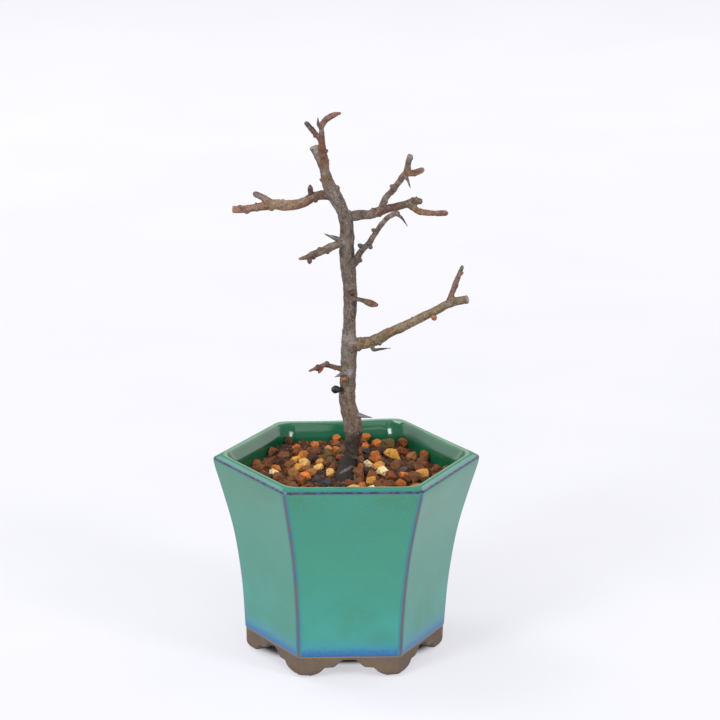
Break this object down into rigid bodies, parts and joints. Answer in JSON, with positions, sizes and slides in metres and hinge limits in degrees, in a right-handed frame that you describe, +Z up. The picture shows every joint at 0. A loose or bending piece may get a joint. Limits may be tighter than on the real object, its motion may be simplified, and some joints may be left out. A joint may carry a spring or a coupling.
{
  "type": "flowering quince bonsai",
  "caption": "Small leafless flowering quince bonsai with thorny side branches, in granular soil in a green glazed hexagonal pot with bracket feet.",
  "frame": {"origin": "on the ground under the middle of the pot", "axes": "+Z up along the trunk; -Y is the pot's front face; +X to the right, through a corner of the pot"},
  "size_m": [0.1008, 0.088, 0.2109],
  "materials": {
    "glazed_stoneware": "gloss",
    "net_plastic": "matte",
    "bonsai_soil": "matte",
    "bark": "matte"
  },
  "bodies": {
    "root": {"pot": "glazed_stoneware", "drain_net": "net_plastic", "soil": "bonsai_soil", "tree": "bark"}
  },
  "joints": []
}
